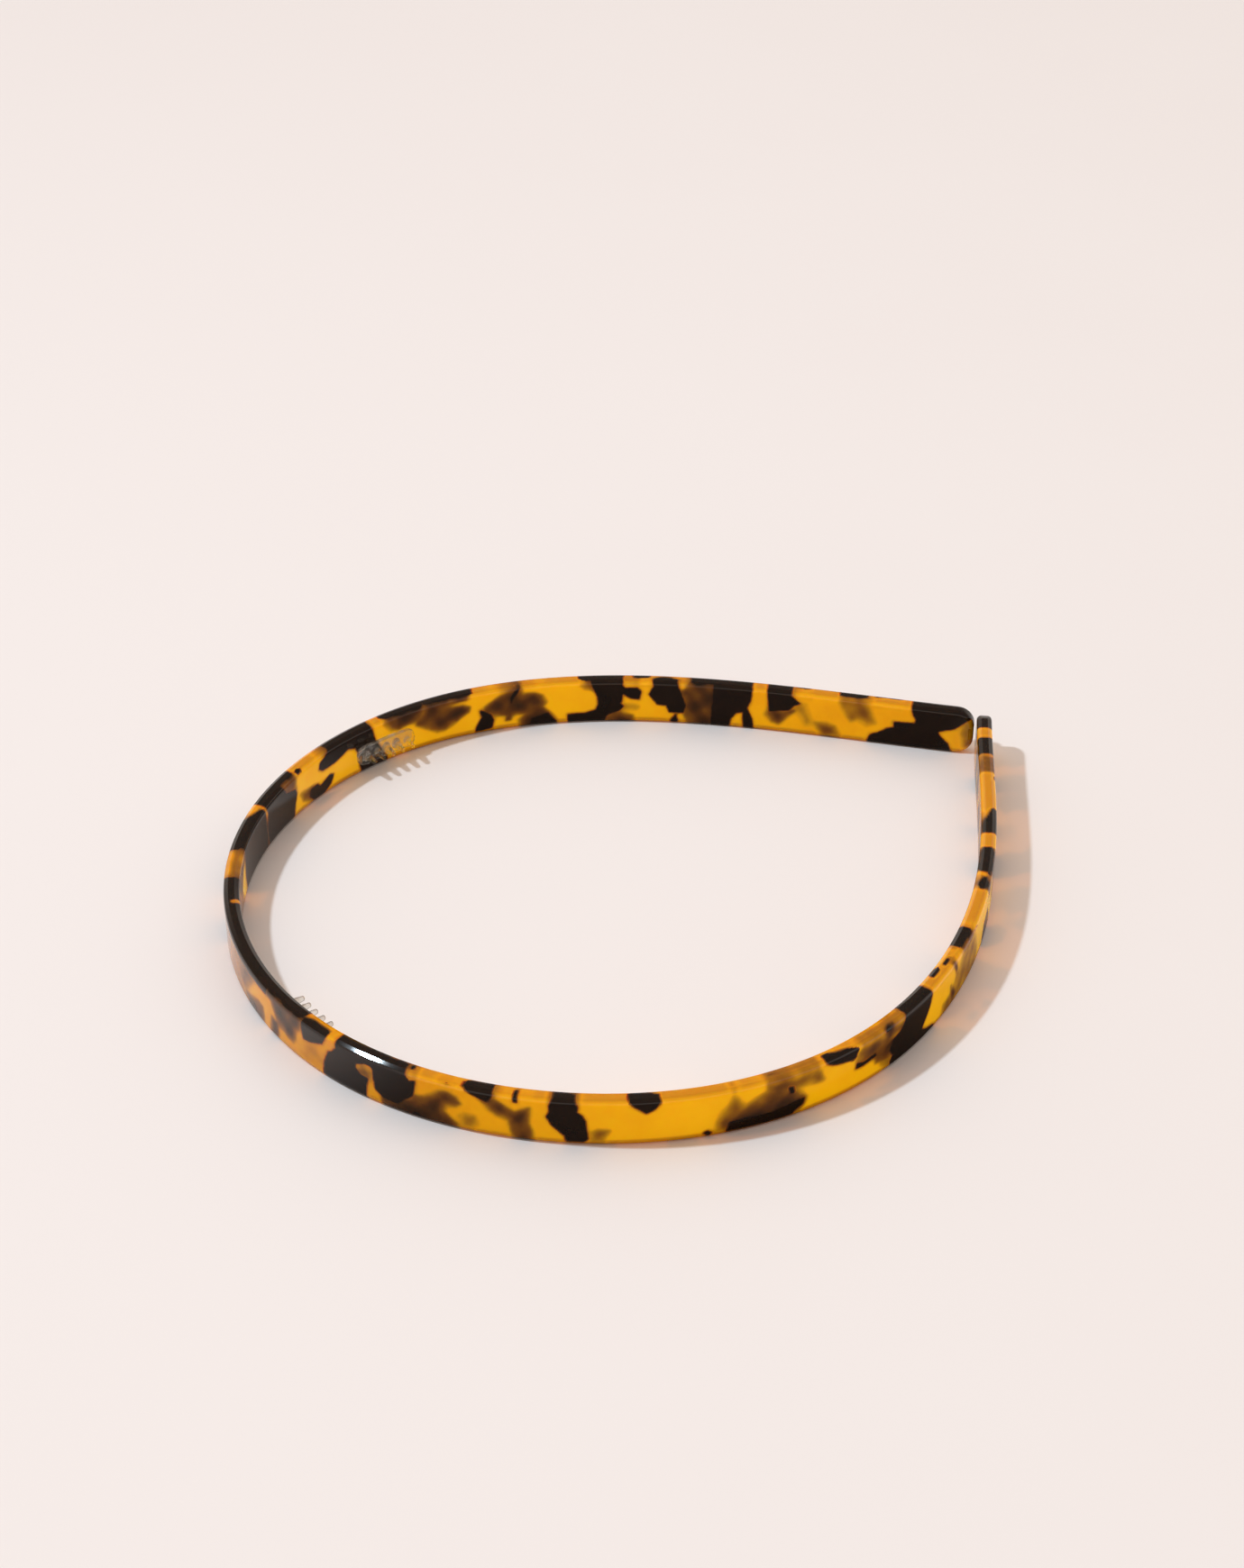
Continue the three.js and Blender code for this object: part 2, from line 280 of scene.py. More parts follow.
# the dark chunks that the amber sheet was pressed from, in millimetres. Each is an outline of
# (along, height) places, cut through the sheet from one depth to the other: -1.5 is the outer face,
# 1.5 the inner one. lean is how far a chunk drifts inward for each millimetre along.
through = (-1.5, 1.5)
chunks = [
    # left arm, from its tip
    {"cut": through, "outline": [(-222, 11), (-206.8, 11), (-207.2, 8.3), (-207.9, 7.2), (-207.7, 6.1),
        (-203.4, 5.9), (-203.6, 4.6), (-202.2, 4.1), (-200.3, 2.8), (-198.8, 2.1), (-197.7, -1),
        (-215.6, -1), (-214.2, 2.1), (-212.6, 3.8), (-212.1, 4.9), (-213.4, 5.4), (-215.5, 6.1),
        (-217.9, 8.3), (-222, 9.2)]},
    {"cut": (-1.5, 0.7), "outline": [(-222, 9), (-217.8, 8), (-217.2, 5), (-217.6, 2), (-219, 1),
        (-222, 1)]},
    {"cut": (-1.5, -0.4), "outline": [(-205.3, 11), (-204.6, 9.3), (-199.4, 9.4), (-198.8, 11)]},
    {"cut": (-1.5, 0.6), "outline": [(-196.9, 11), (-191.8, 11), (-193, 7.8), (-194.6, 5), (-196, 5.6),
        (-197.8, 4.5), (-199.4, 5.2), (-198.8, 7.2)]},
    {"cut": (-1.5, 0.9), "outline": [(-192.3, 1), (-191.3, 3), (-189.9, 3.5), (-187.5, 3.3), (-188, 2),
        (-189.2, 0.8)]},
    {"cut": (-1.5, 0.3), "outline": [(-185.3, 7.4), (-183.2, 6.6), (-184.6, 4.4), (-185.5, 2.7),
        (-186.7, 3), (-186, 5)]},
    {"cut": through, "outline": [(-182.4, 11), (-182.2, 9.3), (-184.1, 7.6), (-182.8, 7.1), (-182, 5.9),
        (-178.1, 5.1), (-177.5, 11)]},
    {"cut": (-1, 1.15), "outline": [(-183, 5.7), (-178.1, 5.7), (-177.3, 4.2), (-178.6, 2.6),
        (-179.8, 2.2), (-180.8, 3.2), (-181.7, 4.3)]},
    {"cut": (-1.5, -0.4), "outline": [(-186.2, 9.3), (-185, 11), (-183.2, 11), (-183.6, 9.4)]},
    {"cut": through, "outline": [(-174.3, 11), (-174, 7), (-173.3, 5.2), (-174.3, 2.6), (-174.9, -1),
        (-172.9, -1), (-172.7, 4.2), (-171.2, 3.9), (-170.1, 2.5), (-169.4, -1), (-166, -1),
        (-166.6, 11)]},
    {"cut": (-1.5, 1.2), "outline": [(-167.4, 11), (-162.4, 11), (-161.6, 9.3), (-160.2, 8),
        (-160.4, 5.2), (-160.6, 2.6), (-161.8, -1), (-167, -1)]},
    {"cut": (-0.4, 1.5), "outline": [(-158.5, 11), (-159.7, 7.9), (-160.7, 4.6), (-160.3, 3),
        (-157.6, 3), (-157, 4.6), (-155.1, 4.8), (-153.5, 7.1), (-154.4, 9), (-154, 11)]},
    {"cut": (-1, 1.5), "outline": [(-159.2, 0.6), (-158.8, 2.2), (-157.8, 0.6)]},
    {"cut": (-1.5, 0.3), "outline": [(-153.8, 11), (-153.2, 9.6), (-150.5, 9.7), (-149, 11)]},
    {"cut": through, "outline": [(-148.1, 11), (-147.7, 9.1), (-148.4, 8.4), (-150.8, 8.5),
        (-151.6, 7.6), (-151.2, 5.9), (-149.7, 6.1), (-147.9, 7.2), (-147.6, 5.4), (-147.2, 4.7),
        (-148, 3.9), (-147, 2.9), (-144.5, 1.9), (-143.5, -1), (-136.8, -1), (-136.7, 2.2),
        (-140.2, 2.3), (-142.5, 3.1), (-143, 4.5), (-142.9, 6.4), (-142.2, 8), (-141.3, 11)]},
    {"cut": (-1.5, 0.9), "outline": [(-142.5, 11), (-142.3, 8.3), (-140.3, 8.6), (-138.3, 11)]},
    {"cut": (-1.5, 1.2), "outline": [(-150.8, -1), (-149.9, 1.6), (-147.4, 2.5), (-144, 2.2),
        (-144, -1)]},
    {"cut": (-1.5, 0.5), "outline": [(-151, 3.9), (-150, 4.3), (-147.9, 4.2), (-148.5, 3.4),
        (-150.5, 3.5)]},
    {"cut": (-1.5, 1.2), "outline": [(-134.2, -1), (-134, 1), (-131.3, 4.7), (-132, 5.8), (-131.3, 7.3),
        (-129.8, 8), (-127.5, 8.2), (-126.5, 9.5), (-123, 8.6), (-121, 7.3), (-119.5, 6.3),
        (-119.3, 4.6), (-121.5, 3.9), (-125.5, 3.8), (-127.8, 3.3), (-126.6, 2), (-126.8, -1)]},
    {"cut": through, "outline": [(-134.2, -1), (-134, 0.9), (-132.4, 3), (-129.2, 1.9), (-128.6, -1)]},
    {"cut": (0.2, 1.5), "outline": [(-126.7, 9.7), (-125.6, 9), (-124.8, 7.6), (-124.9, 6.4),
        (-125.5, 7.8)]},
    {"cut": (0, 1.35), "outline": [(-125, 5.6), (-124.2, 4.4), (-123.8, 2.4), (-124.6, 2.4),
        (-125.3, 4)]},
    {"cut": (-0.8, 1.5), "outline": [(-120.4, 4.2), (-121, 2.8), (-120.6, 1.1), (-117.3, 0.9),
        (-117.5, 1.8), (-118.7, 4), (-118.4, 5.6), (-119.6, 4.8)]},
    {"cut": (-1.5, 1.4), "outline": [(-117.2, 11), (-116.6, 9.8), (-115.4, 9.2), (-112.6, 9),
        (-110.5, 8.9), (-110, 11)]},
    {"cut": (-1.5, 1.1), "outline": [(-115.8, 6.9), (-114.6, 7.5), (-112.6, 7.7), (-110.8, 8.8),
        (-110.5, 11), (-106.9, 11), (-105.9, 8.4), (-104.4, 6.2), (-107, 4.4), (-108.9, 3.1),
        (-110.6, 3.1), (-112.2, 3.9), (-114, 5.3), (-115.6, 6.2)]},
    {"cut": (0, 1.38), "outline": [(-115.8, 6.9), (-114.6, 7.4), (-113, 7.4), (-111.3, 5.6),
        (-113.2, 4.9), (-115.6, 6.2)]},
    {"cut": (-1.5, 1.3), "outline": [(-106.2, 11), (-105.6, 9), (-104.9, 7.6), (-104.6, 7),
        (-102.4, 7.2), (-100.2, 6.9), (-98.9, 8), (-97.9, 11)]},
    {"cut": (-1.5, 0.8), "outline": [(-99.9, 7.2), (-98.5, 7.2), (-96.9, 9.2), (-96.3, 11),
        (-100, 11)]},
    {"cut": through, "outline": [(-93.3, 11), (-93.9, 8), (-94.4, 6), (-95.6, 3.8), (-97, 1.2),
        (-97, -1), (-91.2, -1), (-90.4, 2.2), (-90.6, 4.5), (-89.4, 6.9), (-87.6, 7.6), (-85.8, 6.9),
        (-83.5, 6.3), (-80.4, 6.2), (-79.4, 7), (-79.7, 8.1), (-82.2, 9.5), (-83, 11)]},
    {"cut": through, "outline": [(-83, 3.5), (-82.2, 3.9), (-80.6, 3.3), (-79.4, 2.8), (-78.5, 3.6),
        (-76.6, 3.6), (-76, 2.2), (-77.6, 0.8), (-80, 0.7), (-82.2, 1.8)]},
    {"cut": (-1.5, 1), "outline": [(-77.5, 3.8), (-73.4, 4.4), (-74.2, 2.6), (-77.2, 0.7), (-78, 1)]},
    {"cut": (0.2, 1.5), "outline": [(-74.1, 11), (-73.9, 9.7), (-73, 9.5), (-72.3, 11)]},
    {"cut": (-1.5, 1), "outline": [(-72, 11), (-71.6, 6.8), (-69, 7.2), (-66.2, 11)]},
    {"cut": through, "outline": [(-66.6, 11), (-68.5, 7.6), (-71.6, 6.6), (-71.8, 5.5), (-71.1, 3.2),
        (-70.2, -1), (-61.2, -1), (-60.6, 3), (-60.9, 6), (-61.2, 8.2), (-60.2, 11)]},
    {"cut": (-1.5, 1.1), "outline": [(-61.4, -1), (-61.2, 7.4), (-59.9, 7.6), (-59.5, -1)]},
    {"cut": through, "lean": -0.45, "outline": [(-59.2, 11), (-59.8, 8), (-59.8, -1), (-44.5, -1),
        (-45.3, 4), (-45.6, 7), (-46.8, 11)]},
    {"cut": (0.4, 1.5), "outline": [(-59.4, -1), (-59.2, 8), (-58.6, 11), (-50, 11), (-50, -1)]},
    {"cut": through, "outline": [(-55, 11), (-57, 5), (-58, -1), (-47, -1), (-46, 4), (-47.2, 11)]},
    {"cut": (-0.3, 1), "outline": [(-49.5, 9.2), (-36, 9.2), (-37, -1), (-44, -1), (-41, 4), (-44, 7)]},
    {"cut": (-0.2, 1), "outline": [(-56, 9), (-49.5, 9), (-51.5, 5), (-52.5, -1), (-57, -1)]},
    # round the crown
    {"cut": through, "lean": 0.3, "outline": [(-37.4, 11), (-38.5, 8), (-36.5, 4), (-38, -1),
        (-31.7, -1), (-31, 5), (-31.7, 8.5), (-31.4, 11)]},
    {"cut": (-1.5, -0.2), "outline": [(-32.5, 11), (-32, 8), (-29, 8), (-28.8, 11)]},
    {"cut": (-0.3, 1.5), "outline": [(-30, 9), (-29.4, 4), (-30.6, -1), (-12, -1), (-13, 2.6),
        (-15, 2.5), (-13, 4.8), (-10.4, 8), (-9, 9)]},
    {"cut": (-1.2, 1.5), "outline": [(-13, -1), (-7, -1), (-6.6, 2.4), (-6.9, 4.2), (-8.3, 4.4),
        (-12, 3), (-14, 2.5)]},
    {"cut": (-1, 1.5), "outline": [(-17, 8.6), (-16, 4), (-14.6, 3.4), (-13, 4.8), (-10.4, 8),
        (-10, 8.8)]},
    {"cut": through, "outline": [(-29.8, 11), (-30.2, 8.8), (-20, 8.8), (-12, 8.6), (-9.2, 8.7),
        (-5.4, 8.5), (-4.9, 11)]},
    {"cut": (-1.4, 0.5), "outline": [(-3.4, 4.4), (-1.9, 4), (-1.5, 2), (-1.9, -1), (-4.2, -1),
        (-3.9, 2.2)]},
    {"cut": (-1.3, 1.5), "outline": [(-5.4, 11), (-5, 8.9), (-3.2, 8.4), (-2.8, 7.2), (-2, 5.6),
        (-1.2, 4), (0.5, 3.9), (1.6, 3.3), (2.9, 3), (3.6, 4.3), (3.9, 6.2), (4.9, 7.4), (5.4, 9),
        (5.6, 11)]},
    {"cut": (-1.5, 0.1), "outline": [(5.9, 11), (5.8, 8), (6.2, 5.9), (7.6, 6.1), (9.3, 6.9),
        (10.9, 7.7), (11.8, 9.5), (12.2, 11)]},
    {"cut": (0.4, 1.5), "outline": [(5, 2), (6.5, 5.4), (9.8, 6.2), (11, 4), (9.4, 1.4), (7, 0.6)]},
    # right arm, from the crown
    {"cut": through, "outline": [(14.4, 11), (14.3, 8.4), (13.4, 7.1), (12.5, 6.5), (11.9, 5),
        (11.3, 3), (11.1, -1), (20.4, -1), (20.7, 3.2), (21, 4.9), (19.4, 5.2), (18.5, 6.3),
        (18.6, 7.3), (20.6, 8.3), (22.3, 8.4), (22.6, 11)]},
    {"cut": (-1.1, 1), "outline": [(19, 5.4), (21.2, 5), (21.6, 6.6), (20.2, 7.4)]},
    {"cut": (-1.5, 0.9), "outline": [(22.3, 11), (22.5, 8.3), (22.4, 5.5), (23, 3.3), (24.3, 2.1),
        (27.2, 1.9), (28.6, 3.6), (30, 5), (30.4, 6.6), (30.7, 8.6), (29.6, 8.1), (28.8, 9.1),
        (28, 11)]},
    {"cut": through, "outline": [(22.3, 11), (22.5, 8), (24.5, 8), (24.8, 11)]},
    {"cut": (-1.15, 1.5), "outline": [(27.5, 2), (28.6, 3.4), (30.2, 5), (32.4, 5.6), (34, 6.8),
        (35.2, 7.8), (36.6, 8), (38.3, 7.4), (38.9, 6.2), (38, 5.4), (36.4, 4.9), (36, 3.6),
        (36.9, 2.4), (38.4, 1.2), (38.6, -1), (24, -1), (24.4, 1.8)]},
    {"cut": (-1.4, 0.6), "outline": [(24, -1), (24.4, 1.9), (27.4, 2), (31, 3.4), (34.6, 3), (36, -1)]},
    {"cut": (-1.38, -0.8), "outline": [(34.9, 11), (35.3, 9.6), (36.2, 8.6), (37.4, 8.9), (38.3, 11)]},
    {"cut": (-0.4, 0.9), "outline": [(29.2, 11), (29.4, 9.5), (29.9, 9.5), (29.9, 11)]},
    {"cut": (-1.5, 1.1), "outline": [(38.4, 11), (40.1, 9.6), (41.6, 8.9), (43.8, 7.9), (44.6, 9.4),
        (44.2, 11)]},
    {"cut": (-1.15, 1.5), "outline": [(42.6, 8.6), (44.2, 6.3), (45.6, 5.2), (47.6, 4.5), (48, 2.6),
        (48.8, -1), (51.9, -1), (51.5, 2.4), (50.9, 4.2), (51.1, 7.7), (48.7, 6.4), (47.2, 7.2),
        (45.3, 8.6), (44.2, 9.3)]},
    {"cut": (-1.5, 0.7), "outline": [(48.55, 11), (48.6, 8.9), (48.95, 8.9), (48.9, 11)]},
    {"cut": (-0.6, 1.5), "outline": [(39, 3.2), (39.8, 3.9), (41.4, 3.7), (41.8, 2.4), (41, 1.3),
        (39.6, 1.4)]},
    {"cut": (-1.5, 1.1), "outline": [(55.8, 11), (54.6, 8.8), (54.7, 7.4), (54.2, 6.2), (55, 4.6),
        (56.2, 3.2), (57.3, 2.1), (57.5, 0.9), (60.4, 0.9), (61, 1.6), (60.8, 3.8), (60.6, 5.6),
        (60, 6.9), (59.2, 7.6), (59.4, 8.8), (59, 9.4), (58.4, 11)]},
    {"cut": (-0.7, 1.5), "outline": [(61.9, 1), (62, 3), (62.9, 3.6), (64.6, 3.4), (63.8, 2),
        (63.6, 1)]},
    {"cut": (-1.5, 1.1), "lean": -0.12, "outline": [(67.6, 11), (68.3, 9.7), (69.6, 8.6), (71.1, 7.4),
        (72.4, 8.3), (73.3, 9.6), (73.2, 11)]},
    {"cut": through, "outline": [(81, 1.3), (81.5, 1.6), (82.2, 1.1), (81.6, 0.7)]},
    {"cut": (-0.6, 1.5), "outline": [(83.2, 1.2), (83.5, 3.6), (84.3, 5.6), (85.6, 6.8), (86.2, 8.4),
        (87.3, 6.9), (88.3, 5.8), (90.6, 7), (93, 8), (95, 5), (94, 1)]},
    {"cut": (-0.85, 1.5), "outline": [(92.6, 8.8), (93.3, 7.4), (90, 5.8), (88, 4.6), (86, 3.8),
        (84.6, 2.6), (85, 0.9), (98.2, 0.9), (99.2, 2.8), (99, 4.4), (98.2, 5.6), (96.9, 6.4),
        (96.6, 8.8)]},
    {"cut": (-1.2, 1), "outline": [(87.6, 4), (91, 4.8), (96.4, 5.2), (98.6, 4.4), (99.3, 3.6),
        (97.5, 2), (86, 2), (86, 3)]},
    {"cut": (-1.5, 0), "outline": [(85.5, 2.7), (88, 3), (93, 2.8), (97.5, 3.5), (99.3, 3.6), (99, 2.4),
        (97.6, 1.6), (97, 0.9), (85, 0.9)]},
    {"cut": (-0.8, 0.9), "outline": [(92.8, 8.9), (93.2, 7.6), (96.5, 7), (99, 6.8), (101.5, 6.3),
        (103.1, 6.1), (102.2, 8.4), (102, 8.9)]},
    {"cut": (-1.5, -0.9), "outline": [(96.4, 7.2), (96.6, 5.9), (97.2, 5.8), (97, 7)]},
    {"cut": (-0.1, 0.6), "outline": [(92.9, 11), (93.2, 9.6), (94, 9.6), (94.3, 11)]},
    {"cut": (-2.6, -0.4), "lean": -0.24, "outline": [(103.2, 11), (103.9, 9.5), (105.2, 8.6),
        (107.4, 8), (110.2, 7.3), (111.2, 8.4), (112, 11)]},
    {"cut": (-0.9, 0.6), "outline": [(112, 8.8), (110.9, 8), (110.4, 5.2), (111.4, 4.9), (114.8, 5.3),
        (117, 6), (120, 7), (124, 8), (123, 9)]},
    {"cut": (-1.5, -1), "outline": [(117.2, 11), (117.5, 9.2), (118.8, 9.2), (119, 11)]},
    {"cut": (-1.5, -0.8), "outline": [(110.4, 6), (110.3, 5), (112, 4.8), (114.9, 5.3), (114.6, 5.8),
        (111.8, 5.4)]},
    {"cut": (-1.4, -0.5), "outline": [(117.2, 11), (117.6, 8.6), (118.4, 7.9), (119.1, 8.8),
        (119.2, 11)]},
    {"cut": through, "outline": [(119, -1), (118.8, 1.4), (119.4, 2.6), (118.5, 4.2), (119.2, 6.2),
        (121.2, 6.9), (122.6, 8.6), (123.2, 11), (130.2, 11), (130.7, 9), (130.3, 7.2), (129.4, 5.4),
        (128.1, 3.6), (127.8, 2.7), (129.2, 1.9), (131.4, 1.3), (132.4, 0.5), (131.4, -1)]},
    {"cut": (-1.25, 1), "outline": [(114.8, 5.4), (117.6, 6.6), (119.4, 6.4), (118.6, 4.4),
        (118.2, 3.2), (116.4, 3.3), (115.1, 3.6)]},
    {"cut": (-0.7, 1.5), "outline": [(116.8, 3.8), (118.8, 3), (118.8, 0.8), (117.4, 1.2),
        (116.6, 2.4)]},
    {"cut": (-0.3, 1.4), "outline": [(133.6, 11), (133.9, 9.6), (136.4, 9.6), (136.9, 11)]},
    {"cut": (-0.5, 0.5), "outline": [(137.5, 11), (137.8, 9.7), (140.4, 9.7), (140.6, 11)]},
    {"cut": (-1.4, -0.6), "outline": [(139.2, 11), (140, 9.4), (141.2, 7.4), (141.4, 5.8), (140.6, 5.6),
        (140.2, 7.6), (139.2, 9.6), (138.4, 11)]},
    {"cut": (-1.3, -0.2), "outline": [(138.3, 5.4), (139.4, 4), (140.4, 2.2), (139.6, 1.8),
        (138.6, 3.6)]},
    {"cut": (-0.35, 1.5), "outline": [(140, 1), (140.2, 4.8), (142.4, 6.6), (143.4, 8.8), (149.6, 8.8),
        (151, 7), (152.6, 3), (153, -1)]},
    {"cut": (-0.6, 1.5), "outline": [(134.5, -1), (135.5, 3), (138, 3.2), (140.6, 2.4), (141, -1)]},
    {"cut": (-1.2, 1.5), "outline": [(143.6, 11), (144.2, 9.2), (147, 8.7), (149.2, 9.2), (149.8, 11)]},
    {"cut": (-1.5, -1), "outline": [(149.8, 11), (150.2, 9.5), (154, 9.4), (154.3, 11)]},
    {"cut": (-1.1, 0.6), "outline": [(161.7, 11), (162, 8.2), (163.8, 7.4), (165.2, 8.6), (165, 11)]},
    {"cut": (-1.5, 0.4), "outline": [(157, 1), (158.4, 4.4), (161.6, 5.2), (163.4, 2.6), (162, -1),
        (158, -1)]},
    {"cut": (-1.35, 1.3), "outline": [(166.7, 11), (167.6, 7.2), (166.4, 4.6), (169.2, 3.2),
        (172.4, 3.8), (173.2, 7), (174.1, 9), (174.1, 11)]},
    {"cut": (-1.2, -0.6), "outline": [(165.6, 11), (165.8, 9.2), (166.8, 9.2), (167, 11)]},
    {"cut": (-1.7, 1), "lean": -0.25, "outline": [(178.7, 11), (179.4, 8), (178, 4.8), (177.6, -1),
        (183.4, -1), (185.2, 3.6), (184.6, 6.8), (187, 11)]},
    {"cut": (-1.5, -1.1), "outline": [(193.4, 11), (193.6, 9.5), (195.1, 9.5), (195.3, 11)]},
    {"cut": (-1.5, -0.9), "outline": [(195.8, 11), (196.1, 9.5), (197.3, 9.5), (197.5, 11)]},
    {"cut": (-0.8, 1.5), "outline": [(188.4, 2), (189.6, 5.4), (193.2, 6.2), (194.8, 3.2),
        (192.6, 0.8)]},
    {"cut": (1.2, 1.5), "outline": [(189.7, 11), (190, 9.4), (191, 9.4), (191.3, 11)]},
    {"cut": (-1.5, 1.1), "outline": [(198.4, 9.4), (199, 6), (197.4, 3.4), (200.8, 1.8), (203.2, 4.4),
        (203, 9.4)]},
    {"cut": through, "outline": [(204.6, 11), (203.8, 8), (205.2, 4.6), (204, -1), (209.6, -1),
        (208.2, 4), (209.4, 8), (209.1, 11)]},
    {"cut": through, "outline": [(212.7, 11), (213.3, 8.6), (212.4, 6.2), (214.2, 3.4), (216.6, 3.8),
        (222, 4.8), (222, 11)]},
]

# how chunks below the surface show, in millimetres: looks are the depths that are looked at
buried = {
    "looks": [0, 0.22, 0.5, 0.85, 1.3, 1.8, 2.4],
    "haze": 0.75,
    "edge": 0.16,
    "fade": 1.6,
    "merge": 0.3,
    "bulge": 0.5,
    "bulgeReach": 2.2,
    "wave": 0.11,
    "ripples": [(0.8, 1.2), (1.5, -0.9)],
    "reach": 3,
    "sink": 5,
}


# distance in from a closed outline, minus outside: the nearest of its sides, and the sign from how
# many sides a line along the strip crosses
def insideBy(along, height, outline):
    start = np.array(outline, float)
    end = np.roll(start, -1, axis=0)
    side = end - start
    gapAlong = along[:, None] - start[:, 0]
    gapHeight = height[:, None] - start[:, 1]
    share = np.clip((gapAlong * side[:, 0] + gapHeight * side[:, 1]) / (side ** 2).sum(axis=1), 0, 1)
    distance = np.hypot(gapAlong - share * side[:, 0], gapHeight - share * side[:, 1]).min(axis=1)
    spans = (start[:, 1] > height[:, None]) != (end[:, 1] > height[:, None])
    rise = np.where(side[:, 1] == 0, 1, side[:, 1])
    ahead = gapAlong < side[:, 0] * gapHeight / rise
    return np.where((spans & ahead).sum(axis=1) % 2 == 1, distance, -distance)


# a chunk's buried side bulges towards its middle and is a little wavy, by two crossed sines. Handed
# back for each point: how far it lies inside a chunk, where chunks that touch run together by the log
# of the sum of their distances' exponentials, and how much dark shows from below, which is the chunk
# met first on the way in along the surface's normal, blurred and faded by its depth
def tortoiseField(coords, normals):
    looks, merge = buried["looks"], buried["merge"]
    inside = np.full((len(looks), len(coords)), -float(buried["reach"]))
    height = coords[:, 2] + band["width"] / 2
    for order, chunk in enumerate(chunks):
        outline = np.array(chunk["outline"], float)
        low, high = outline[:, 0].min() - buried["reach"], outline[:, 0].max() + buried["reach"]
        near = np.nonzero((coords[:, 0] > low) & (coords[:, 0] < high))[0]
        for number, look in enumerate(looks):
            along = coords[near, 0] - normals[near, 0] * look
            depth = coords[near, 1] - normals[near, 1] * look
            rise = height[near] - normals[near, 2] * look
            depth = depth - chunk.get("lean", 0) * (along - outline[:, 0].mean())
            inward = insideBy(along, rise, outline)
            rim = 1 - np.clip(inward / buried["bulgeReach"], 0, 1)
            ripple = 0
            for turn, (alongRate, riseRate) in enumerate(buried["ripples"], 1):
                ripple = ripple + np.sin(alongRate * along + riseRate * rise + turn * order)
            thinner = buried["bulge"] * rim ** 2 + buried["wave"] * ripple
            start, stop = chunk["cut"]
            start = start - 1 if start <= through[0] else start + thinner
            stop = stop + 1 if stop >= through[1] else stop - thinner
            sheet = np.minimum(depth - start, stop - depth)
            if number == 0:
                sheet = np.where(sheet < 0, sheet * buried["sink"], sheet)
            within = np.minimum(sheet, inward)
            inside[number, near] = merge * np.logaddexp(inside[number, near] / merge, within / merge)
    clear = np.ones(len(coords))
    shade = np.zeros(len(coords))
    for number, look in enumerate(looks):
        blur = buried["edge"] + buried["haze"] * look
        cover = np.clip(inside[number] / (2 * blur) + 0.5, 0, 1)
        cover = cover * cover * (3 - 2 * cover)
        shade += clear * cover * math.exp(-look / buried["fade"])
        clear *= 1 - cover
    return np.clip(inside[0], -buried["reach"], buried["reach"]), shade


# a number for each point of a piece, which its material reads by name
def giveValues(piece, name, values):
    attribute = piece.data.attributes.new(name, "FLOAT", "POINT")
    attribute.data.foreach_set("value", values.astype(np.float32))


# a wire is a socket that can be added, multiplied and so on: each sign adds a Math node
class Wire:
    def __init__(self, bench, socket):
        self.bench = bench
        self.socket = socket

    def reckon(self, operation, first, second):
        return self.bench.node("ShaderNodeMath", {"operation": operation}, {0: first, 1: second})

    def __add__(self, other):
        return self.reckon("ADD", self, other)

    def __radd__(self, other):
        return self.reckon("ADD", other, self)

    def __sub__(self, other):
        return self.reckon("SUBTRACT", self, other)

    def __rsub__(self, other):
        return self.reckon("SUBTRACT", other, self)

    def __mul__(self, other):
        return self.reckon("MULTIPLY", self, other)

    def __rmul__(self, other):
        return self.reckon("MULTIPLY", other, self)

    def atMost(self, other):
        return self.reckon("MINIMUM", self, other)

    def atLeast(self, other):
        return self.reckon("MAXIMUM", self, other)


